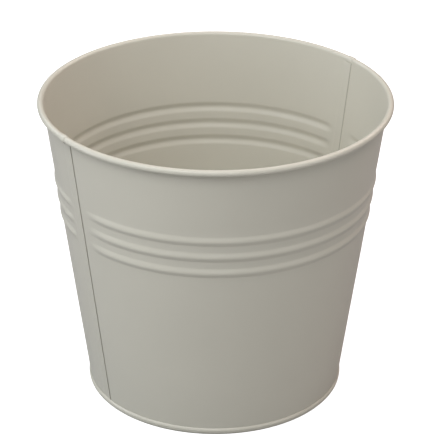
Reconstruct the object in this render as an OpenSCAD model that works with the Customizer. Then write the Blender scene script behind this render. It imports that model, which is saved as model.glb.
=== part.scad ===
// Florist bucket: a tapered pot of coated sheet steel, with a wired rim, three beads
// round the wall, a folded lock seam down each side and a double-seamed base.
// The foot stands on z = 0. The side seams are at +X and -X, the front panel faces -Y.

/* [Pot] */
// Diameter over the rolled rim
rim_d = 260; // [240:1:280]
// Height from the foot to the top of the rim
height = 230; // [200:1:260]
// Outside diameter of the wall, carried down to the ground
foot_d = 190.4; // [180:0.2:200]
// Thickness of the coated sheet
sheet_t = 0.45; // [0.45:0.05:0.6]

/* [Rim] */
// Diameter of the wire inside the rolled rim
wire_d = 3.8; // [3:0.1:6]
// How far round the wire the sheet is rolled, in degrees
curl_angle = 316; // [270:1:318]

/* [Beads] */
// Number of beads pressed outward round the wall
bead_count = 3; // [1:1:5]
// From the top of the rim down to the middle of the beads
bead_drop = 73; // [60:1:90]
// Height from one bead to the next
bead_pitch = 13.2; // [10:0.1:16]
// Width of one bead
bead_w = 6.3; // [5:0.1:8]
// How far a bead stands out
bead_h = 1; // [0.5:0.1:1.4]
// Plain strip between a bead's end on the front panel and the seam's outer fold
bead_clear_front = 7; // [4:0.5:14]
// Plain strip between a bead's end on the back panel and the far side of the seam
bead_clear_back = 3.5; // [2:0.5:10]

/* [Side seams] */
// Width of the folded lock seam
seam_w = 7.5; // [6:0.1:10]
// Place of the seam's outer fold, along Y
seam_y = -0.8; // [-0.8:0.1:0]
// Depth of the sealant left at the bottom of each fold
sealant_w = 0.6; // [0.4:0.1:1]

/* [Base] */
// Height of the hem where the base is folded round the wall
hem_h = 4.7; // [4.5:0.1:7]
// Height of the floor's upper face above the ground
floor_z = 7.5; // [7.5:0.1:12]

/* [Hidden] */
$fn = 96;

coat = "#a9a799";
steel = "#9a9c9e";
compound = "#c9c4b4";

gap = 0.05;                      // room left between two folded layers
layer = sheet_t + gap;           // from one folded layer to the next
far = rim_d;                     // larger than the pot's radius

// Rolled rim: the sheet's centre circle lies round the wire
curl_in = wire_d / 2 + gap;
curl_out = curl_in + sheet_t;
curl_r = rim_d / 2 - curl_out;
curl_z = height - curl_out;

// Wall: a cone that runs up into the curl, a third of the sheet's thickness deep
curl_reach = curl_in + sheet_t / 3;
lean = atan((curl_r - curl_reach - foot_d / 2) / curl_z);
taper = (curl_r - curl_reach / cos(lean) - foot_d / 2) / curl_z;

// A bead is the crown of a ring that is mostly sunk in the wall
bead_r = (bead_w * bead_w / 4 + bead_h * bead_h) / (2 * bead_h);
bead_mid = height - bead_drop;

// Side seam: four layers, as deep inside the wall as they stand out of it
stack = 4 * sheet_t + 3 * gap;
stack_in = -(stack + sheet_t) / 2;
seam_end = 0.4;                  // left between the stack and the rim's curl
seam_lo = floor_z + 2 * layer;
seam_hi = curl_z - curl_out - seam_end;

// Half the angle the back panel is turned through before its sides are cut off
overrun = 100;

// Outer radius of the wall at height z
function wall_r(z) = foot_d / 2 + taper * z;

// A point of the section, at height z and off millimetres out of the wall's outer face
function at(off, z) = [wall_r(z) + off, z];

// Offset of a seam layer's inner face: 0 is the innermost layer and 3 the outermost
function layer_off(n) = stack_in + n * layer;

// Closed strip of the section between two offsets and two heights
module strip(off_a, off_b, z_a, z_b) {
    polygon([at(off_a, z_a), at(off_b, z_a), at(off_b, z_b), at(off_a, z_b)]);
}

// One circle of the given radius in each bead
module bead_rings(r) {
    for (i = [0 : bead_count - 1]) {
        z = bead_mid + (i - (bead_count - 1) / 2) * bead_pitch;
        translate(at(bead_h - bead_r, z)) circle(r = r);
    }
}

// Crowns of the beads, from the middle of the sheet outward
module bead_crowns() {
    intersection() {
        bead_rings(bead_r);
        strip(-sheet_t / 2, bead_w, 0, height);
    }
}

// The sheet rolled outward over the wire, its lip tucked back to the wall
module curl_section() {
    translate([curl_r, curl_z]) difference() {
        circle(r = curl_out);
        circle(r = curl_in);
        gap_angle = 360 - curl_angle;
        polygon([[0, 0],
                 2 * curl_out * [-1, 0],
                 2 * curl_out * [-1, -sin(gap_angle)],
                 2 * curl_out * [-cos(gap_angle), -sin(gap_angle)]]);
    }
}

// The wall's hook in the base seam: out at the bottom, then up
module foot_hook_section() {
    strip(-sheet_t, 2 * layer, layer, 2 * layer - gap);
    strip(gap + layer, 2 * layer, layer, hem_h - layer);
}

// Slab of space between two planes across Y, above z_a and below z_b
module slab(y_a, y_b, z_a = -height, z_b = 2 * height) {
    translate([-far, y_a, z_a]) cube([2 * far, y_b - y_a, z_b - z_a]);
}

// Section turned to the given angle on either side of +Y
module turned(half_angle) {
    rotate_extrude(angle = 2 * half_angle, start = 90 - half_angle) children();
}

// Wall sheet round +Y with its rim, beads and foot hook
module wall_sheet(bead_half, edge_half) {
    bead_end = sheet_t / wall_r(bead_mid) * 180 / PI;
    difference() {
        union() {
            turned(edge_half) {
                strip(-sheet_t, 0, layer, curl_z);
                curl_section();
                foot_hook_section();
            }
            turned(bead_half) bead_crowns();
        }
        turned(bead_half - bead_end) bead_rings(bead_r - sheet_t);
    }
}

// Seam layers n_a to n_b over their full height, between two planes across Y
module seam_strip(n_a, n_b, y_a, y_b) {
    seam_step(layer_off(n_a), layer_off(n_b) + sheet_t, y_a, y_b);
}

// The same between two offsets from the wall: the step from a wall to its outer layer
module seam_step(off_a, off_b, y_a, y_b) {
    intersection() {
        rotate_extrude() strip(off_a, off_b, seam_lo + gap, seam_hi - gap);
        slab(seam_y + y_a, seam_y + y_b);
    }
}

module front_wall_panel() {
    bead_half = 90 - asin((bead_clear_front - seam_y) / wall_r(bead_mid));
    edge_half = 90 - asin((gap - seam_y) / wall_r(0));
    color(coat) {
        rotate([0, 0, 180]) wall_sheet(bead_half, edge_half);
        seam_step(stack_in, 0, -gap - sheet_t, -gap);
        seam_strip(0, 0, -gap - sheet_t, seam_w);
        seam_strip(0, 2, seam_w - sheet_t, seam_w);
        seam_strip(2, 2, sheet_t + sealant_w, seam_w);
    }
}

module back_wall_panel() {
    bead_half = 90 - asin((seam_y + seam_w + bead_clear_back) / wall_r(bead_mid));
    color(coat) {
        difference() {
            wall_sheet(bead_half, overrun);
            slab(-far, seam_y);
            slab(-far, seam_y + seam_w + gap, seam_lo, seam_hi);
        }
        seam_step(-sheet_t, stack_in + stack, seam_w + gap, seam_w + layer);
        seam_strip(3, 3, 0, seam_w + layer);
        seam_strip(1, 3, 0, sheet_t);
        seam_strip(1, 1, 0, seam_w - sheet_t - sealant_w);
    }
}

// Base: floor, upstand inside the wall, foot, and a hem folded over the wall's hook
module base_pan() {
    color(coat) rotate_extrude() {
        translate([0, floor_z - sheet_t]) square([wall_r(floor_z) - 2 * layer, sheet_t]);
        strip(-2 * layer, -layer, 0, floor_z);
        strip(-2 * layer, 3 * layer, 0, sheet_t);
        strip(3 * layer - sheet_t, 3 * layer, 0, hem_h);
        strip(gap, 3 * layer, hem_h - sheet_t, hem_h);
        strip(gap, layer, 2 * layer + sealant_w, hem_h);
    }
}

module rim_wire() {
    color(steel) rotate_extrude() translate([curl_r, curl_z]) circle(d = wire_d);
}

// Compound at the bottom of a side seam's two folds, on one side of the pot
module seam_sealant(side) {
    color(compound) intersection() {
        union() {
            seam_strip(2, 2, sheet_t, sheet_t + sealant_w);
            seam_strip(1, 1, seam_w - sheet_t - sealant_w, seam_w - sheet_t);
        }
        translate([side * far, 0, 0]) cube(2 * far, center = true);
    }
}

module left_seam_sealant() {
    seam_sealant(-1);
}

module right_seam_sealant() {
    seam_sealant(1);
}

// Compound inside the base seam, between the wall's hook and the hem's lip
module base_seam_sealant() {
    color(compound) rotate_extrude()
        strip(gap, layer, 2 * layer, 2 * layer + sealant_w);
}

front_wall_panel();
back_wall_panel();
base_pan();
rim_wire();
left_seam_sealant();
right_seam_sealant();
base_seam_sealant();
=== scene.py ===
import math

import bmesh
import bpy
import numpy as np
from mathutils import Matrix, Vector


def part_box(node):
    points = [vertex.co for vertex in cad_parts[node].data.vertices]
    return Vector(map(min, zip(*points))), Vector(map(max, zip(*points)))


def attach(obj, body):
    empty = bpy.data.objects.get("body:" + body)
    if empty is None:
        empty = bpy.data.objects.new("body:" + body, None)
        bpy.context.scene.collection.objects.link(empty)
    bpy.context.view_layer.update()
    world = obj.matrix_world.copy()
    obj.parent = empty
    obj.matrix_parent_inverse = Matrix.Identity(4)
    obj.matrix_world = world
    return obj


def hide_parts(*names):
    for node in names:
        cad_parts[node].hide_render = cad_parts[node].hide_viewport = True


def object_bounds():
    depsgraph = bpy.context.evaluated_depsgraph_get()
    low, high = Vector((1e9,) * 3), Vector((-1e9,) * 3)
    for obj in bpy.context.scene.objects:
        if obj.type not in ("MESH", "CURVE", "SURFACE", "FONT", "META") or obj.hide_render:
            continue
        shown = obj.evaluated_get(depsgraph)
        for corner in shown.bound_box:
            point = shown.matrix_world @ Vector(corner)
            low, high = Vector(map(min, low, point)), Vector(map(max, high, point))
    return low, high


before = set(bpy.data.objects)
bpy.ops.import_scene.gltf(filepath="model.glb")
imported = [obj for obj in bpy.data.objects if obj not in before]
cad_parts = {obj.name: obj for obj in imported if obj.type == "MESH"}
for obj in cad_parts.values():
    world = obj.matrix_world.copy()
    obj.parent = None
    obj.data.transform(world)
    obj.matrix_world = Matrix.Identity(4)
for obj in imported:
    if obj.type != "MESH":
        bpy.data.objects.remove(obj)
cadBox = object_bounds()
wireLow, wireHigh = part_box("rim_wire")
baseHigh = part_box("base_pan")[1]
topZ = cadBox[1][2]
print("frame loaded:", len(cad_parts), "CAD parts")

# sizes are in metres and angles in degrees; the side seams lie at +X and -X
sheet = {
    "thickness": 0.00045,
    "gap": 0.00005,           # left between two folded layers
}
layerStep = sheet["thickness"] + sheet["gap"]

seam = {
    "foldY": -0.0008,         # outer fold, where the back panel ends on the outside
    "width": 0.0075,
    "return": 0.0055,         # how far each folded edge runs back inside the seam
    "pressed": 0.00026,       # one layer as drawn in the side seams, thinner than the sheet
    "pitch": 0.00028,         # from one such layer to the next
    "bendRadius": 0.00034,    # centreline radius of the step into the seam
    "farRamp": 0.0026,        # soft step on the side away from the outer fold
    "strand": 0.0006,         # width and depth of the compound in the bottom of each fold
    "strandDepth": 0.00014,
    "filmReach": 0.0036,      # how far a film slopes off the seam inside the pot
    "filmEdge": 0.00006,      # its thickness where it ends
    "filmLead": 0.001,        # how far it starts before the inner fold ends
    "thinLead": 0.0012,       # the front sheet thins over this width before its step
    "rampLead": 0.0003,       # the back sheet starts down this far before the seam's far edge
    "hookLead": 0.0002,       # how far the back fold starts inside the layer that carries it
    "endShare": 0.15,         # part of the folds' offset that is left where they run out
    "frontColumns": (0.0035, 0.0135),   # distances between which columns are close together
    "backColumns": (0.006, 0.0155),
    "rimLap": 0.00045,        # how much the lapped sheet thickens the rolled rim
    "rimTuck": 0.003,         # how far the front sheet runs on under the lap
    "lapRise": (-0.0018, 0.0003),       # distances over which the lap thickens the rim
    "lapFall": (0.0035, 0.0015),        # and thins again, the second one past the seam
    "low": 0.0050,
    "high": 0.2268,
    "fade": 0.0016,           # the folds run out over this height at both ends
}

wall = {
    "footRadius": 0.0952,     # outside of the wall, carried down to the ground
    "hookOut": 0.0004,        # how far the hook inside the base seam stands out of the wall
    "hookTop": 0.0034,        # lip of that hook
    "curlEnd": -136.0,        # where the rolled lip stops, round the wire
    "rippleHeight": 0.00005,  # slight unevenness that rolling leaves in thin sheet
    "columnsPerDegree": 0.7,
    "span": 0.11,             # radius that turns arc lengths into angles away from the seams
    "seamZone": 0.0075,       # columns nearer than this close up to meet the sheet's edge
    "flatZone": (0.016, 0.03),          # from planes beside the seam to planes through the axis
    "rippleZone": (0.012, 0.03),        # distances from a seam over which ripples rise
    "firstRow": 0.0013,
    "footRows": 0.010,        # rows are closer below this height
    "curlRows": 0.008,        # and within this height of the rim's curl
    "beadRow": 0.00042,       # from one row to the next through the beads
}

beads = {
    "count": 3,
    "middle": 0.1572,         # height of the middle bead
    "pitch": 0.0132,
    "width": 0.0090,
    "height": 0.00105,
    "frontEnd": (2.6, 13.0),   # degrees from the seam where a bead starts and is full
    "backEnd": (4.2, 9.5),
}


def smoothStep(low, high, x):
    # 0 below low, 1 above high, 3t^2 - 2t^3 in between
    t = np.clip((x - low) / (high - low), 0.0, 1.0)
    return t * t * (3 - 2 * t)


def arcPoints(centre, radius, start, end, count):
    # points on a circle from one angle to another, both in degrees
    a = np.radians(np.linspace(start, end, count))
    return np.stack([centre[0] + radius * np.cos(a), centre[1] + radius * np.sin(a)], 1)


def gridFaces(rows, cols, closed=False):
    # quads of a grid whose points are numbered row by row; closed joins the last column to the first
    i, j = np.meshgrid(np.arange(rows - 1), np.arange(cols if closed else cols - 1), indexing="ij")
    k = (j + 1) % cols
    quads = [i * cols + j, (i + 1) * cols + j, (i + 1) * cols + k, i * cols + k]
    return np.stack(quads, -1).reshape(-1, 4)


def surfaceNormals(points):
    # cross product of the two grid directions, pointing to the left of a row's direction of travel
    across = np.gradient(points, axis=0)
    along = np.gradient(points, axis=1)
    n = np.cross(across, along)
    return n / np.maximum(np.linalg.norm(n, axis=2, keepdims=True), 1e-12)


def lineNormals(line):
    # unit normals to the right of a line of (x, y) points, from the points on either side
    d = np.gradient(line, axis=0)
    n = np.stack([d[:, 1], -d[:, 0]], 1)
    return n / np.linalg.norm(n, axis=1, keepdims=True)


def roundedLine(points, radii, steps=7):
    # a line through the points with each inner corner replaced by an arc tangent to both sides
    out = [np.array(points[0], float)[None]]
    for before, corner, after, radius in zip(points[:-2], points[1:-1], points[2:], radii):
        before, corner, after = (np.array(p, float) for p in (before, corner, after))
        a = (before - corner) / np.linalg.norm(before - corner)
        b = (after - corner) / np.linalg.norm(after - corner)
        half = math.acos(np.clip(a @ b, -1, 1)) / 2
        bisector = (a + b) / np.linalg.norm(a + b)
        centre = corner + bisector * radius / math.sin(half)
        t = np.linspace(0, 1, steps)[:, None]
        # sweep from one tangent point to the other round the centre
        p, q = corner + a * radius / math.tan(half), corner + b * radius / math.tan(half)
        sweep = math.pi - 2 * half
        out.append(centre + (np.sin((1 - t) * sweep) * (p - centre)
                             + np.sin(t * sweep) * (q - centre)) / math.sin(sweep))
    out.append(np.array(points[-1], float)[None])
    return np.concatenate(out)


def edgeLip(points, normals, half, edge, inner):
    # vectors half the thickness long that point out of the sheet at one edge, square to the edge
    lip = np.cross(normals[:, edge], np.gradient(points, axis=0)[:, edge])
    reach = np.linalg.norm(half[:, edge], axis=1, keepdims=True)
    lip *= reach / np.linalg.norm(lip, axis=1, keepdims=True)
    return lip * np.sign(np.sum(lip * (points[:, edge] - points[:, inner]), 1))[:, None]


def thicken(points, normals, thickness):
    # closed band: the grid moved half the thickness to one side, a rounded edge, and back on the other
    half = normals * thickness / 2
    lip, root = edgeLip(points, normals, half, -1, -2), edgeLip(points, normals, half, 0, 1)
    turn = np.radians([36, 72, 108, 144])[None, :, None]
    tip = points[:, -1:] + np.cos(turn) * half[:, -1:] + np.sin(turn) * lip[:, None]
    tail = points[:, :1] - np.cos(turn) * half[:, :1] + np.sin(turn) * root[:, None]
    return np.concatenate([points + half, tip, (points - half)[:, ::-1], tail], 1)


def bandMesh(points, normals, thickness):
    # a thickened band closed at both ends by quads that join each point to the one facing it
    loops = thicken(points, normals, thickness)
    rows, cols = loops.shape[:2]
    m = np.arange(cols // 2)
    left = (points.shape[1] + 1 - m) % cols
    right = (points.shape[1] + 2 + m) % cols
    cap = np.stack([left[:-1], left[1:], right[1:], right[:-1]], 1)
    faces = [gridFaces(rows, cols, closed=True), cap, cap[:, ::-1] + (rows - 1) * cols]
    return loops.reshape(-1, 3), np.concatenate(faces)


def joinMeshes(parts):
    # several (points, faces) pairs as one
    verts, faces, first = [], [], 0
    for v, f in parts:
        verts.append(v)
        faces.append(f + first)
        first += len(v)
    return np.concatenate(verts), np.concatenate(faces)


smoothing = {
    "weld": 1e-7,             # points nearer than this become one
    "sharpAngle": 50.0,       # edges with a bigger angle between their faces stay sharp
}


def makePiece(name, verts, faces, slotName, material, nodes):
    # one mesh object from points and faces, smooth but for its sharp edges, that rides the root
    # body, takes the material and takes the place of the named CAD parts; slotName is not used
    mesh = bpy.data.meshes.new(name)
    mesh.from_pydata(verts.tolist(), [], faces.tolist())
    work = bmesh.new()
    work.from_mesh(mesh)
    bmesh.ops.remove_doubles(work, verts=work.verts, dist=smoothing["weld"])
    bmesh.ops.recalc_face_normals(work, faces=work.faces)
    work.to_mesh(mesh)
    work.free()
    mesh.polygons.foreach_set("use_smooth", np.ones(len(mesh.polygons), bool))
    mesh.set_sharp_from_angle(angle=math.radians(smoothing["sharpAngle"]))
    piece = bpy.data.objects.new(name, mesh)
    bpy.context.collection.objects.link(piece)
    mesh.materials.append(material)
    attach(piece, "root")
    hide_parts(*nodes)
    print("made", name, len(mesh.polygons), "faces")
    return piece


view = {
    "azimuth": -35.0,         # 0 looks along +Y
    "elevation": 26.97,
    "distance": 1.621,
    "lens": 176.15,
    "pan": 0.13,
    "tilt": 0.44,
    "roll": 0.24,
    "sensor": 36.0,
    "clip": (0.05, 50.0),
}


def makeCamera():
    # stands at the azimuth, elevation and distance from the pot's middle and faces it, then turns by
    # pan, tilt and roll in that order; a turn by t takes (u, v) to (u cos t + v sin t, v cos t - u sin t)
    a, e = math.radians(view["azimuth"]), math.radians(view["elevation"])
    back = np.array([math.sin(a) * math.cos(e), -math.cos(a) * math.cos(e), math.sin(e)])
    place = np.array([0, 0, topZ / 2]) + back * view["distance"]
    ahead = -back
    right = np.cross(ahead, [0, 0, 1])
    right /= np.linalg.norm(right)
    up = np.cross(right, ahead)
    for key in ("pan", "tilt", "roll"):
        t = math.radians(view[key])
        c, s = math.cos(t), math.sin(t)
        if key == "pan":
            ahead, right = ahead * c + right * s, right * c - ahead * s
        elif key == "tilt":
            ahead, up = ahead * c + up * s, up * c - ahead * s
        else:
            right, up = right * c + up * s, up * c - right * s
    data = bpy.data.cameras.new("studio_camera")
    data.lens = view["lens"]
    data.sensor_width = view["sensor"]
    data.clip_start, data.clip_end = view["clip"]
    camera = bpy.data.objects.new("studio_camera", data)
    bpy.context.collection.objects.link(camera)
    turned = np.stack([right, up, -ahead], 1)
    camera.matrix_world = Matrix.Translation(place) @ Matrix(turned.tolist()).to_4x4()
    bpy.context.scene.camera = camera
    print("camera placed")


coat = {
    "colour": (0.580, 0.566, 0.490),
    "roughness": 0.34,
    "peelSize": 1.1,          # millimetres from one dimple of the coat to the next
    "peelDepth": 0.000012,
    "mottle": 0.035,          # how far the tone wanders over the wall
    "paintedShadeWidth": 0.0004,      # painted shade: width of the dark line at the outer fold of a side seam; the depth below is how far it darkens the colour
    "paintedShadeDepth": 0.6,
    "patchRough": 0.08,       # swing of the roughness with the patches, and with the peel
    "peelRough": 0.05,
    "bump": 0.6,
    "specular": 0.5,
}
peelShape = {
    "fineShare": 0.65,
    "wideShare": 0.35,
    "wideScale": 0.22,        # scale of the wide noise as a part of the fine one's
    "patchScale": 14.0,
}
steel = {
    "colour": (0.44, 0.445, 0.45),
    "roughness": 0.34,
    "drawDepth": 0.000006,
    "drawScale": 9000.0,
    "bloomSize": 2.0,         # millimetres, as for the coat
    "bloom": 0.12,
    "roughSwing": 0.2,
    "bump": 0.7,
}
compound = {
    "colour": (0.52, 0.48, 0.40),
    "roughness": 0.72,
    "lumpSize": 0.7,
    "lumpDepth": 0.0001,
    "mottle": 0.3,
    "roughSwing": 0.2,
    "bump": 0.8,
}


def newGroup(name, inputs, outputs):
    # a shader group with its named sockets, and its input and output nodes
    group = bpy.data.node_groups.new(name, "ShaderNodeTree")
    for socket, kind, value in inputs:
        made = group.interface.new_socket(socket, in_out="INPUT", socket_type=kind)
        if value is not None:
            made.default_value = value
    for socket, kind in outputs:
        group.interface.new_socket(socket, in_out="OUTPUT", socket_type=kind)
    return group, group.nodes.new("NodeGroupInput"), group.nodes.new("NodeGroupOutput")


def addNode(tree, kind, **values):
    # each value sets the attribute of its name, or else the input; an underscore is a space there
    node = tree.nodes.new(kind)
    for key, value in values.items():
        if hasattr(node, key):
            setattr(node, key, value)
        else:
            node.inputs[key.replace("_", " ")].default_value = value
    return node


def addMath(tree, operation, a, b):
    # the operation on a and b, which are sockets or numbers
    node = tree.nodes.new("ShaderNodeMath")
    node.operation = operation
    for i, value in enumerate((a, b)):
        if isinstance(value, (int, float)):
            node.inputs[i].default_value = value
        else:
            tree.links.new(value, node.inputs[i])
    return node.outputs[0]


def addBump(tree, shader, height, strength, distance):
    # tilts the shader's normal by the slope of the height
    bump = addNode(tree, "ShaderNodeBump", Strength=strength, Distance=distance)
    tree.links.new(height, bump.inputs["Height"])
    tree.links.new(bump.outputs["Normal"], shader.inputs["Normal"])


def makePeelGroup():
    # swell: a fine noise and a wider one, each times its share, added; patch: a broad noise
    floats = "NodeSocketFloat"
    group, start, end = newGroup(
        "orangePeel",
        [("Place", "NodeSocketVector", None), ("Size mm", floats, 1.0)],
        [("Swell", floats), ("Patch", floats)],
    )
    scale = addMath(group, "DIVIDE", 1000.0, start.outputs["Size mm"])
    fine = addNode(group, "ShaderNodeTexNoise", Detail=2.0, Roughness=0.45)
    wide = addNode(group, "ShaderNodeTexNoise", Detail=3.0, Roughness=0.55)
    patch = addNode(group, "ShaderNodeTexNoise", Scale=peelShape["patchScale"], Detail=3.0, Roughness=0.5)
    for node, factor in ((fine, 1.0), (wide, peelShape["wideScale"])):
        group.links.new(addMath(group, "MULTIPLY", scale, factor), node.inputs["Scale"])
    for node in (fine, wide, patch):
        group.links.new(start.outputs["Place"], node.inputs["Vector"])
    finePart = addMath(group, "MULTIPLY", fine.outputs["Fac"], peelShape["fineShare"])
    widePart = addMath(group, "MULTIPLY", wide.outputs["Fac"], peelShape["wideShare"])
    group.links.new(addMath(group, "ADD", finePart, widePart), end.inputs["Swell"])
    group.links.new(patch.outputs["Fac"], end.inputs["Patch"])
    return group


def makeToneGroup():
    # colour * (1 + 2 * amount * (mask - 0.5))
    floats = "NodeSocketFloat"
    group, start, end = newGroup(
        "toneWander",
        [("Colour", "NodeSocketColor", (0.5, 0.5, 0.5, 1.0)), ("Mask", floats, 0.5),
         ("Amount", floats, 0.04)],
        [("Colour", "NodeSocketColor")],
    )
    centred = addMath(group, "SUBTRACT", start.outputs["Mask"], 0.5)
    swing = addMath(group, "MULTIPLY", centred, start.outputs["Amount"])
    value = addMath(group, "ADD", addMath(group, "MULTIPLY", swing, 2.0), 1.0)
    shade = group.nodes.new("ShaderNodeVectorMath")
    shade.operation = "SCALE"
    group.links.new(start.outputs["Colour"], shade.inputs[0])
    group.links.new(value, shade.inputs["Scale"])
    group.links.new(shade.outputs[0], end.inputs["Colour"])
    return group


def makePaintedFoldShadeGroup():
    # painted shade along the seam's outer fold: colour * (1 - depth * (1 - distance from the fold's
    # line / width)), not below 0 in the inner bracket, between the seam's ends; the line shows on both
    # faces of the wall
    group, start, end = newGroup(
        "paintedFoldShade",
        [("Colour", "NodeSocketColor", (0.5, 0.5, 0.5, 1.0)), ("Place", "NodeSocketVector", None)],
        [("Colour", "NodeSocketColor")],
    )
    parts = group.nodes.new("ShaderNodeSeparateXYZ")
    group.links.new(start.outputs["Place"], parts.inputs[0])
    shifted = addMath(group, "SUBTRACT", parts.outputs["Y"], seam["foldY"] - coat["paintedShadeWidth"] / 2)
    share = addMath(group, "DIVIDE", addMath(group, "ABSOLUTE", shifted, 0.0), coat["paintedShadeWidth"])
    near = addMath(group, "MAXIMUM", addMath(group, "SUBTRACT", 1.0, share), 0.0)
    above = addMath(group, "GREATER_THAN", parts.outputs["Z"], seam["low"])
    below = addMath(group, "LESS_THAN", parts.outputs["Z"], seam["high"])
    outside = addMath(group, "GREATER_THAN", addMath(group, "ABSOLUTE", parts.outputs["X"], 0.0),
                      wall["footRadius"] - sheet["thickness"])
    mask = addMath(group, "MULTIPLY", addMath(group, "MULTIPLY", above, below), outside)
    shadeAmount = addMath(group, "MULTIPLY", addMath(group, "MULTIPLY", near, mask), coat["paintedShadeDepth"])
    shade = group.nodes.new("ShaderNodeVectorMath")
    shade.operation = "SCALE"
    group.links.new(start.outputs["Colour"], shade.inputs[0])
    group.links.new(addMath(group, "SUBTRACT", 1.0, shadeAmount), shade.inputs["Scale"])
    group.links.new(shade.outputs[0], end.inputs["Colour"])
    return group


def useGroup(tree, group):
    # a node that holds the group
    node = tree.nodes.new("ShaderNodeGroup")
    node.node_tree = group
    return node


def newMaterial(name):
    # a material with its node tree and its main shader
    material = bpy.data.materials.new(name)
    material.use_nodes = True
    tree = material.node_tree
    return material, tree, tree.nodes["Principled BSDF"]


def makeCoat(peelGroup, toneGroup, paintedShadeGroup):
    # satin powder coat: even colour with a faint wander and a line of painted shade at the seam's fold,
    # orange peel as bump, and roughness plus each noise times its swing, less half of both swings
    material, tree, shader = newMaterial("warm_grey_powder_coat")
    place = tree.nodes.new("ShaderNodeTexCoord")
    peel = useGroup(tree, peelGroup)
    peel.inputs["Size mm"].default_value = coat["peelSize"]
    tree.links.new(place.outputs["Object"], peel.inputs["Place"])
    tone = useGroup(tree, toneGroup)
    tone.inputs["Colour"].default_value = (*coat["colour"], 1.0)
    tone.inputs["Amount"].default_value = coat["mottle"]
    tree.links.new(peel.outputs["Patch"], tone.inputs["Mask"])
    # painted shade: the colour is darkened along the seam's outer fold
    fold = useGroup(tree, paintedShadeGroup)
    tree.links.new(place.outputs["Object"], fold.inputs["Place"])
    tree.links.new(tone.outputs["Colour"], fold.inputs["Colour"])
    tree.links.new(fold.outputs["Colour"], shader.inputs["Base Color"])
    swing = addMath(tree, "MULTIPLY", peel.outputs["Patch"], coat["patchRough"])
    fine = addMath(tree, "MULTIPLY", peel.outputs["Swell"], coat["peelRough"])
    least = coat["roughness"] - (coat["patchRough"] + coat["peelRough"]) / 2
    rough = addMath(tree, "ADD", addMath(tree, "ADD", swing, fine), least)
    tree.links.new(rough, shader.inputs["Roughness"])
    addBump(tree, shader, peel.outputs["Swell"], coat["bump"], coat["peelDepth"])
    shader.inputs["Specular IOR Level"].default_value = coat["specular"]
    return material


def makeSteel(peelGroup, toneGroup):
    # drawn wire: metal with faint draw marks that run round the ring, and a dull zinc bloom
    material, tree, shader = newMaterial("drawn_zinc_wire")
    place = tree.nodes.new("ShaderNodeTexCoord")
    parts = tree.nodes.new("ShaderNodeSeparateXYZ")
    tree.links.new(place.outputs["Object"], parts.inputs[0])
    across = addMath(tree, "MULTIPLY", parts.outputs["X"], parts.outputs["X"])
    along = addMath(tree, "MULTIPLY", parts.outputs["Y"], parts.outputs["Y"])
    radius = addMath(tree, "SQRT", addMath(tree, "ADD", across, along), 0.0)
    ring = tree.nodes.new("ShaderNodeCombineXYZ")
    tree.links.new(radius, ring.inputs["X"])
    tree.links.new(parts.outputs["Z"], ring.inputs["Y"])
    draw = addNode(tree, "ShaderNodeTexNoise", Scale=steel["drawScale"], Detail=2.0, Roughness=0.5)
    tree.links.new(ring.outputs[0], draw.inputs["Vector"])
    peel = useGroup(tree, peelGroup)
    peel.inputs["Size mm"].default_value = steel["bloomSize"]
    tree.links.new(place.outputs["Object"], peel.inputs["Place"])
    tone = useGroup(tree, toneGroup)
    tone.inputs["Colour"].default_value = (*steel["colour"], 1.0)
    tone.inputs["Amount"].default_value = steel["bloom"]
    tree.links.new(peel.outputs["Swell"], tone.inputs["Mask"])
    tree.links.new(tone.outputs["Colour"], shader.inputs["Base Color"])
    rough = addMath(tree, "MULTIPLY", draw.outputs["Fac"], steel["roughSwing"])
    level = addMath(tree, "ADD", rough, steel["roughness"] - steel["roughSwing"] / 2)
    tree.links.new(level, shader.inputs["Roughness"])
    shader.inputs["Metallic"].default_value = 1.0
    addBump(tree, shader, draw.outputs["Fac"], steel["bump"], steel["drawDepth"])
    return material


def makeCompound(peelGroup, toneGroup):
    # dried sealing compound: matt, lumpy and slightly uneven in tone
    material, tree, shader = newMaterial("seam_compound")
    place = tree.nodes.new("ShaderNodeTexCoord")
    peel = useGroup(tree, peelGroup)
    peel.inputs["Size mm"].default_value = compound["lumpSize"]
    tree.links.new(place.outputs["Object"], peel.inputs["Place"])
    tone = useGroup(tree, toneGroup)
    tone.inputs["Colour"].default_value = (*compound["colour"], 1.0)
    tone.inputs["Amount"].default_value = compound["mottle"]
    tree.links.new(peel.outputs["Swell"], tone.inputs["Mask"])
    tree.links.new(tone.outputs["Colour"], shader.inputs["Base Color"])
    rough = addMath(tree, "MULTIPLY", peel.outputs["Swell"], compound["roughSwing"])
    level = addMath(tree, "ADD", rough, compound["roughness"] - compound["roughSwing"] / 2)
    tree.links.new(level, shader.inputs["Roughness"])
    addBump(tree, shader, peel.outputs["Swell"], compound["bump"], compound["lumpDepth"])
    return material


def paintNode(nodeName, material):
    # a CAD part keeps its shape and takes this material
    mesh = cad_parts[nodeName].data
    mesh.materials.clear()
    mesh.materials.append(material)


half = sheet["thickness"] / 2
wireRadius = (wireHigh[2] - wireLow[2]) / 2
curlCentre = np.array([wireHigh[0] - wireRadius, (wireHigh[2] + wireLow[2]) / 2])
curlRadius = wireRadius + sheet["gap"] + half

# the wall's centreline leaves the foot and is tangent to the curl
footPoint = np.array([wall["footRadius"] - half, 0.0])
toCurl = curlCentre - footPoint
lean = math.atan2(toCurl[0], toCurl[1]) - math.asin(curlRadius / np.linalg.norm(toCurl))
wallLength = math.sqrt(toCurl @ toCurl - curlRadius ** 2)
wallUp = np.array([math.sin(lean), math.cos(lean)])


def beadHeight(z):
    # sum of raised-cosine humps, one for each bead
    total = np.zeros_like(z)
    for i in range(beads["count"]):
        middle = beads["middle"] + (i - (beads["count"] - 1) / 2) * beads["pitch"]
        t = np.clip((z - middle) / beads["width"], -0.5, 0.5)
        total += beads["height"] * np.cos(np.pi * t) ** 2
    return total


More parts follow.
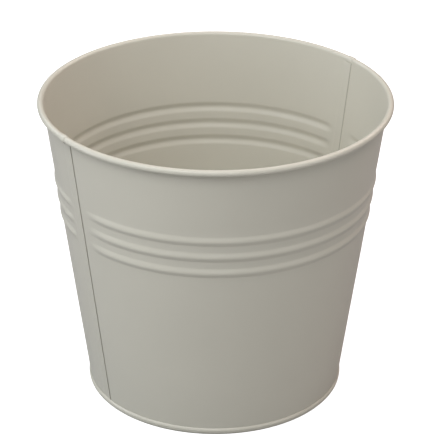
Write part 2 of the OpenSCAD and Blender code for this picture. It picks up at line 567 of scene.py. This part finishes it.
def wallHeights():
    # heights of the section's rows: close together through the beads and near both ends
    reach = (beads["count"] - 1) / 2 * beads["pitch"] + beads["width"] / 2
    low, high = beads["middle"] - reach, beads["middle"] + reach
    top = wallLength * math.cos(lean)
    foot, curlStart = wall["footRows"], top - wall["curlRows"]
    rows = int((high - low) / wall["beadRow"])
    return np.concatenate([
        np.linspace(wall["firstRow"], foot, 8)[:-1],
        np.linspace(foot, low, 16)[:-1],
        np.linspace(low, high, rows)[:-1],
        np.linspace(high, curlStart, 9)[:-1],
        np.linspace(curlStart, top, 10),
    ])


def wallSection():
    # centreline from the hook's lip, round its bend, up the wall and round the wire, with its
    # outward normals, the height of the beads and how far each point is in the foot or the top
    hookRadius = wall["footRadius"] + wall["hookOut"]
    bendRadius = (hookRadius - footPoint[0]) / 2
    bendZ = layerStep + half + bendRadius
    hook = np.array([[hookRadius, z] for z in np.linspace(wall["hookTop"], bendZ, 5)[:-1]])
    bend = arcPoints((footPoint[0] + bendRadius, bendZ), bendRadius, 0, -180, 11)[:-1]
    heights = wallHeights()
    heights = heights[heights > bendZ]
    straight = footPoint + heights[:, None] / math.cos(lean) * wallUp
    curl = arcPoints(curlCentre, curlRadius, 180 - math.degrees(lean), wall["curlEnd"], 46)[1:]
    line = np.concatenate([hook, bend, straight, curl])
    onWall = slice(len(hook) + len(bend), len(line) - len(curl))
    foot, top, hump = np.ones(len(line)), np.zeros(len(line)), np.zeros(len(line))
    foot[onWall] = 1 - smoothStep(seam["low"], seam["low"] + seam["fade"], heights)
    foot[onWall.stop:] = 0
    top[onWall] = smoothStep(seam["high"] - seam["fade"], seam["high"], heights)
    top[onWall.stop:] = 1
    hump[onWall] = beadHeight(heights)
    return line, lineNormals(line), hump, foot, top


def ripple(angle, z, phase):
    # slow waves round and up the wall, between -1 and 1, with z in tenths of a metre
    return (np.sin(3 * angle + 9 * z + phase) * np.sin(17 * z + 2 * phase)
            + 0.7 * np.sin(7 * angle - 23 * z + 2.1 * phase) * np.sin(31 * z + phase)
            + 0.4 * np.sin(13 * angle + 41 * z + phase)) / 2.1


def seamColumns(start, counts, bounds):
    # distances from the plane y = 0: counts of columns up to each bound, then even angles to mid panel
    first, second = bounds
    span = wall["span"]
    near = np.concatenate([np.linspace(start, first, counts[0])[:-1],
                           np.linspace(first, second, counts[1])])
    rest = np.radians(np.arange(math.degrees(near[-1] / span) + 1 / wall["columnsPerDegree"],
                                90.0, 1 / wall["columnsPerDegree"])) * span
    return np.concatenate([near, rest])


def panelGrid(side, columns, edgeAt, offsetAt, beadEnds, phase):
    # columns are distances from the plane y = 0 near a seam and arc lengths far from it; the other
    # half mirrors them. side is 1 for the back panel and -1 for the front one. edgeAt gives the
    # sheet's edge from the foot and top weights, and the columns near it close up to meet it
    line, normal, hump, foot, top = wallSection()
    span, limit = wall["span"], wall["seamZone"]
    middle = math.pi / 2 * span
    along = np.concatenate([columns, [middle], (2 * middle - columns)[::-1]])
    mirrored = along > middle
    near = np.where(mirrored, 2 * middle - along, along)[:, None]
    edge = edgeAt(foot, top)[None]
    share = np.clip((near - columns[0]) / (limit - columns[0]), 0, 1)
    near = np.where(near < limit, edge + share * (limit - edge), near)
    radius = line[None, :, 0]
    angle = near / span
    straightness = 1 - smoothStep(*wall["flatZone"], near)
    angle = angle + straightness * (np.arcsin(np.clip(near / radius, -1, 1)) - angle)
    offset = hump * smoothStep(*np.radians(beadEnds), angle) + offsetAt(near, foot[None], top[None])
    free = smoothStep(*wall["rippleZone"], near) * (1 - top) * (1 - foot)
    offset = offset + wall["rippleHeight"] * free * ripple(angle, line[None, :, 1] * 10, phase)
    r = radius + normal[None, :, 0] * offset
    z = line[None, :, 1] + normal[None, :, 1] * offset
    angle = np.where(mirrored[:, None], math.pi - angle, angle)
    return np.stack([r * np.cos(angle), side * r * np.sin(angle), z], -1), near, foot, top


def seamStrip(side, path):
    # the folded edge: a plan path of (distance along Y, offset from the wall) carried up the seam
    low, high, fade = seam["low"], seam["high"], seam["fade"]
    heights = np.concatenate([np.linspace(low, low + fade, 6)[:-1],
                              np.linspace(low + fade, high - fade, 24)[:-1],
                              np.linspace(high - fade, high, 6)])[:, None]
    line = footPoint + heights / math.cos(lean) * wallUp
    weight = smoothStep(low, low + fade, heights) * (1 - smoothStep(high - fade, high, heights))
    off = path[None, :, 1] * (seam["endShare"] + (1 - seam["endShare"]) * weight)
    r = line[:, :1] + math.cos(lean) * off
    z = line[:, 1:] - math.sin(lean) * off
    y = np.broadcast_to(path[None, :, 0], r.shape)
    return np.stack([side * np.sqrt(r ** 2 - y ** 2), y, z], -1)


def stepPath(startY, drop, radius):
    # S-bend along +Y: two arcs of one radius that move the centreline by drop
    turn = math.degrees(math.acos(1 - abs(drop) / (2 * radius)))
    first = arcPoints((startY, math.copysign(radius, drop)), radius,
                      -math.copysign(90, drop), -math.copysign(90 - turn, drop), 8)
    mirrored = 2 * first[-1] - first[::-1]
    return np.concatenate([first, mirrored[1:]])


def makeFrontPanel(material):
    # the front sheet steps inward at the fold, runs behind the seam and folds back outward
    fold, pitch = seam["foldY"], seam["pitch"]
    drop = -1.5 * pitch
    stepWidth = 2 * seam["bendRadius"] * math.sin(math.acos(1 + drop / (2 * seam["bendRadius"])))
    start = fold - sheet["gap"] - seam["pressed"] / 2 - stepWidth

    def edgeAt(foot, top):
        # the start of the step, the back sheet's fold at the foot and under the lap at the rim,
        # weighted by foot and top
        return -start * (1 - foot - top) + (sheet["gap"] - fold) * foot - seam["rimTuck"] * top

    columns = seamColumns(-start, (7, 24), seam["frontColumns"])
    grid, near, foot, top = panelGrid(-1, columns, edgeAt, lambda near, foot, top: 0.0,
                                      beads["frontEnd"], 0.6)
    thin = (1 - smoothStep(-start, -start + seam["thinLead"], near)) * (1 - foot - top)
    thickness = sheet["thickness"] + (seam["pressed"] - sheet["thickness"]) * thin
    parts = [bandMesh(grid, surfaceNormals(grid), thickness[..., None])]
    bend = stepPath(start, drop, seam["bendRadius"])
    endY = fold + seam["width"] - seam["pressed"] / 2 - pitch
    hook = arcPoints((endY, drop + pitch), pitch, -90, 90, 13)
    back = np.array([[endY - seam["return"], drop + 2 * pitch]])
    path = np.concatenate([bend, np.linspace(bend[-1], hook[0], 6)[1:-1], hook, back])
    # a film over the fold's edge inside, from the seam down to the back sheet
    share = smoothStep(0, 1, np.linspace(0, 1, 12))
    film = seam["pressed"] * (1 - share) + seam["filmEdge"] * share
    sunk = seam["filmEdge"] / 2
    innerFace = (drop - seam["pressed"] / 2 + sunk) * (1 - share) + (sunk - half) * share
    reach = np.linspace(endY - seam["filmLead"], fold + seam["width"] + seam["filmReach"], 12)
    bridge = np.stack([reach, innerFace + film / 2], 1)
    for side in (-1, 1):
        strip = seamStrip(side, path)
        parts.append(bandMesh(strip, surfaceNormals(strip), seam["pressed"]))
        strip = seamStrip(side, bridge)
        parts.append(bandMesh(strip, surfaceNormals(strip), film[None, :, None]))
    return makePiece("front_wall", *joinMeshes(parts), "warm_grey_coat", material,
                     ["front_wall_panel"])


def makeBackPanel(material):
    # the back sheet steps outward over the seam, ends in the outer fold and laps over the rim
    fold, pitch = seam["foldY"], seam["pitch"]
    rise = 1.5 * pitch
    far = fold + seam["width"]
    startY = fold + seam["pressed"] / 2 + pitch

    def edgeAt(foot, top):
        # the fold at the foot and the rim, and the bend of the hook between them
        return fold * (foot + top) + startY * (1 - foot - top)

    def overSeam(near):
        # 1 over the seam, down to 0 past its far edge
        return 1 - smoothStep(far - seam["rampLead"], far + seam["farRamp"], near)

    def offsetAt(near, foot, top):
        # outward by one and a half layers over the seam, and off the wire by the lap at the rim
        fallStart, fallPast = seam["lapFall"]
        lap = smoothStep(*seam["lapRise"], near) * (1 - smoothStep(fallStart, far + fallPast, near))
        return rise * (1 - foot - top) * overSeam(near) - seam["rimLap"] * top * lap

    columns = seamColumns(fold, (14, 26), seam["backColumns"])
    grid, near, foot, top = panelGrid(1, columns, edgeAt, offsetAt, beads["backEnd"], 2.3)
    thin = overSeam(near) * (1 - foot - top)
    thickness = sheet["thickness"] + (seam["pressed"] - sheet["thickness"]) * thin
    parts = [bandMesh(grid, surfaceNormals(grid), thickness[..., None])]
    hook = arcPoints((startY, rise - pitch), pitch, 90, 270, 13)
    end = np.array([[startY + seam["return"], rise - 2 * pitch]])
    path = np.concatenate([[[startY + seam["hookLead"], rise]], hook, end])
    for side in (-1, 1):
        strip = seamStrip(side, path)
        parts.append(bandMesh(strip, surfaceNormals(strip), seam["pressed"]))
    return makePiece("back_wall", *joinMeshes(parts), "warm_grey_coat", material,
                     ["back_wall_panel"])


def makeSealant(side, name, material):
    # two flat strands of compound, one in the bottom of each fold, between the folded layers
    fold, pitch = seam["foldY"], seam["pitch"]
    foldEnd = fold + seam["pressed"] / 2 + pitch
    farEnd = fold + seam["width"] - seam["pressed"] / 2 - pitch
    strands = [(foldEnd, foldEnd + seam["strand"], pitch / 2),
               (farEnd - seam["strand"], farEnd, -pitch / 2)]
    parts = []
    for start, end, offset in strands:
        path = np.stack([np.linspace(start, end, 4), np.full(4, offset)], 1)
        strip = seamStrip(side, path)
        parts.append(bandMesh(strip, surfaceNormals(strip), seam["strandDepth"]))
    return makePiece(name, *joinMeshes(parts), "seam_compound", material, [name + "_sealant"])


base = {
    "hemHeight": 0.0052,
    "hemOut": 0.0012,         # how far the hem stands out of the foot of the wall
    "hemFull": 0.0036,        # height up to which the hem stands out in full
    "hemRadius": 0.0024,      # bottom outer corner of the hem
    "shoulder": 0.0011,       # rounding of the hem's upper edge
    "footBend": 0.0007,       # bend between the upstand and the ground
    "floorRadius": 0.0016,    # bend between the floor and its upstand
    "columns": 192,
    "floorRings": 8,
}


def makeBase(material):
    # one pressed sheet: floor, upstand inside the wall, foot, and the hem closed on the wall
    slope = math.tan(lean)
    inner = wall["footRadius"] - 2 * layerStep + half
    outer = wall["footRadius"] + base["hemOut"] - half
    floorZ = baseHigh[2] - half
    top = base["hemHeight"]
    touch = wall["footRadius"] + slope * top + half
    corners = [(0.0, floorZ), (inner + slope * floorZ, floorZ), (inner, half), (outer, half),
               (outer + slope * base["hemFull"], base["hemFull"]), (touch, top)]
    radii = [base["floorRadius"], base["footBend"], base["hemRadius"], base["shoulder"]]
    line = roundedLine(corners, radii)
    line = np.concatenate([np.linspace(line[0], line[1], base["floorRings"])[:-1], line[1:]])
    normal = lineNormals(line)
    normal[0] = (0, normal[0][1] / abs(normal[0][1]))
    angle = np.linspace(0, 2 * math.pi, base["columns"], endpoint=False)[:, None]
    upper, lower = line - normal * half, line + normal * half
    tip = line[-1] + (line[-1] - line[-2]) / np.linalg.norm(line[-1] - line[-2]) * half
    profile = np.concatenate([upper, [tip], lower[::-1]])
    r, z = profile[None, :, 0], np.broadcast_to(profile[None, :, 1], (len(angle), len(profile)))
    verts = np.stack([r * np.cos(angle), r * np.sin(angle), z], -1)
    verts = np.concatenate([verts, verts[:1]])
    faces = gridFaces(len(verts), len(profile))
    return makePiece("base", verts.reshape(-1, 3), faces, "warm_grey_coat", material, ["base_pan"])


cool, plain, warm = (0.97, 1.0, 1.05), (1.0, 1.0, 1.0), (1.2, 0.96, 0.88)
lamps = [                     # turned from the camera's side, to the left where negative
    {"name": "key_soft_box", "turn": -45, "elevation": 55, "power": 9.5, "colour": plain},
    {"name": "front_soft_box", "turn": 0, "elevation": 50, "power": 8.7, "colour": plain},
    {"name": "left_soft_box", "turn": -55, "elevation": 30, "power": 3.7, "colour": cool},
    {"name": "far_left_soft_box", "turn": -130, "elevation": 35, "power": 4.8, "colour": cool},
    {"name": "right_soft_box", "turn": 90, "elevation": 55, "power": 4.9, "colour": warm},
    {"name": "far_right_soft_box", "turn": 135, "elevation": 40, "power": 5.9, "colour": warm},
    {"name": "back_soft_box", "turn": 180, "elevation": 55, "power": 4.4, "colour": plain},
    {"name": "low_left_soft_box", "turn": -85, "elevation": 12, "power": 6.6, "colour": cool},
    {"name": "low_front_soft_box", "turn": 0, "elevation": 12, "power": 2.4, "colour": plain},
    {"name": "low_right_soft_box", "turn": 60, "elevation": 12, "power": 3.5, "colour": plain},
    {"name": "top_soft_box", "turn": 0, "elevation": 88, "power": 1.4, "colour": plain},
]
studio = {
    "lampDistance": 1.7,
    "lampSize": 0.8,
    "dome": 0.03,             # light from all round
    "backdrop": 1.05,         # white that only the camera sees
    "floorSize": 12.0,
    "floorGlow": 1.0,         # likewise, on the floor
    "floorTone": 0.38,
    "floorRoughness": 0.9,
    "white": (1.0, 1.0, 1.0, 1.0),
}


def addArea(name, azimuth, elevation, power, colour):
    # a square soft box that faces the middle of the pot
    a, e = math.radians(azimuth), math.radians(elevation)
    back = np.array([math.sin(a) * math.cos(e), -math.cos(a) * math.cos(e), math.sin(e)])
    data = bpy.data.lights.new(name, "AREA")
    data.size = studio["lampSize"]
    data.energy = power
    data.color = colour
    lamp = bpy.data.objects.new(name, data)
    bpy.context.collection.objects.link(lamp)
    right = np.cross(-back, [0, 0, 1.0])
    right /= np.linalg.norm(right)
    turned = np.stack([right, np.cross(back, right), back], 1)
    place = np.array([0, 0, topZ / 2]) + back * studio["lampDistance"]
    lamp.matrix_world = Matrix.Translation(place) @ Matrix(turned.tolist()).to_4x4()
    return lamp


def makeLights():
    # the soft boxes, a dim dome, and a white backdrop in place of the dome for camera rays
    for lamp in lamps:
        addArea(lamp["name"], view["azimuth"] + lamp["turn"], lamp["elevation"], lamp["power"],
                lamp["colour"])
    world = bpy.data.worlds.new("studio")
    bpy.context.scene.world = world
    world.use_nodes = True
    tree = world.node_tree
    dome = tree.nodes["Background"]
    dome.inputs["Color"].default_value = studio["white"]
    dome.inputs["Strength"].default_value = studio["dome"]
    seen = tree.nodes.new("ShaderNodeBackground")
    seen.inputs["Color"].default_value = studio["white"]
    seen.inputs["Strength"].default_value = studio["backdrop"]
    path = tree.nodes.new("ShaderNodeLightPath")
    mix = tree.nodes.new("ShaderNodeMixShader")
    tree.links.new(path.outputs["Is Camera Ray"], mix.inputs[0])
    tree.links.new(dome.outputs[0], mix.inputs[1])
    tree.links.new(seen.outputs[0], mix.inputs[2])
    tree.links.new(mix.outputs[0], tree.nodes["World Output"].inputs["Surface"])
    bpy.context.scene.view_settings.view_transform = "Standard"
    print("lights placed")


def makeFloor():
    # plain and pale; its glow reaches the camera only, so it doesn't light the pot from below
    size = studio["floorSize"]
    mesh = bpy.data.meshes.new("studio_floor")
    corners = [(-size, -size, 0), (size, -size, 0), (size, size, 0), (-size, size, 0)]
    mesh.from_pydata(corners, [], [(0, 1, 2, 3)])
    floor = bpy.data.objects.new("studio_floor", mesh)
    bpy.context.collection.objects.link(floor)
    material, tree, shader = newMaterial("pale_floor")
    shader.inputs["Base Color"].default_value = (*[studio["floorTone"]] * 3, 1.0)
    shader.inputs["Roughness"].default_value = studio["floorRoughness"]
    shader.inputs["Emission Color"].default_value = studio["white"]
    path = tree.nodes.new("ShaderNodeLightPath")
    glow = addMath(tree, "MULTIPLY", path.outputs["Is Camera Ray"], studio["floorGlow"])
    tree.links.new(glow, shader.inputs["Emission Strength"])
    mesh.materials.append(material)


makeCamera()
peelGroup, toneGroup = makePeelGroup(), makeToneGroup()
coatMaterial = makeCoat(peelGroup, toneGroup, makePaintedFoldShadeGroup())
makeFrontPanel(coatMaterial)
makeBackPanel(coatMaterial)
makeBase(coatMaterial)

paintNode("rim_wire", makeSteel(peelGroup, toneGroup))
compoundMaterial = makeCompound(peelGroup, toneGroup)
makeSealant(-1, "left_seam", compoundMaterial)
makeSealant(1, "right_seam", compoundMaterial)
paintNode("base_seam_sealant", compoundMaterial)

makeFloor()
makeLights()
